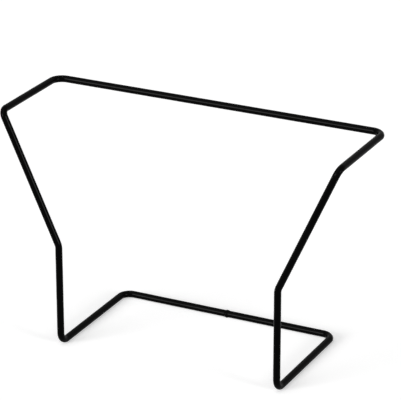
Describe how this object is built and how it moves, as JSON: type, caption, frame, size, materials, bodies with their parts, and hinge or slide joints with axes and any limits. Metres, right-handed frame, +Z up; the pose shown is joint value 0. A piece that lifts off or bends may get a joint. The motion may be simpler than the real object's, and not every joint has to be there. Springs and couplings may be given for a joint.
{
  "type": "record storage stand",
  "caption": "Free-standing bent wire stand that holds a stack of records on edge between splayed front legs, side arms and a rear rail, over a flat wire base.",
  "frame": {"origin": "centre of the base's footprint, on the floor", "axes": "+X across the stand to the right as seen from the front, +Y to the back, +Z up"},
  "size_m": [0.2152, 0.0845, 0.144],
  "materials": {
    "wire_coat": "satin black powder coat on steel wire",
    "weld_coat": "satin black powder coat over a dressed butt weld"
  },
  "bodies": {
    "root": {"rear_rail": "wire_coat", "left_rear_corner": "wire_coat", "right_rear_corner": "wire_coat", "left_arm": "wire_coat", "right_arm": "wire_coat", "left_shoulder": "wire_coat", "right_shoulder": "wire_coat", "left_flare": "wire_coat", "right_flare": "wire_coat", "left_knee": "wire_coat", "right_knee": "wire_coat", "left_leg": "wire_coat", "right_leg": "wire_coat", "left_foot": "wire_coat", "right_foot": "wire_coat", "left_runner": "wire_coat", "right_runner": "wire_coat", "left_base_corner": "wire_coat", "right_base_corner": "wire_coat", "left_base_bar": "wire_coat", "right_base_bar": "wire_coat", "butt_weld": "weld_coat"}
  },
  "joints": []
}
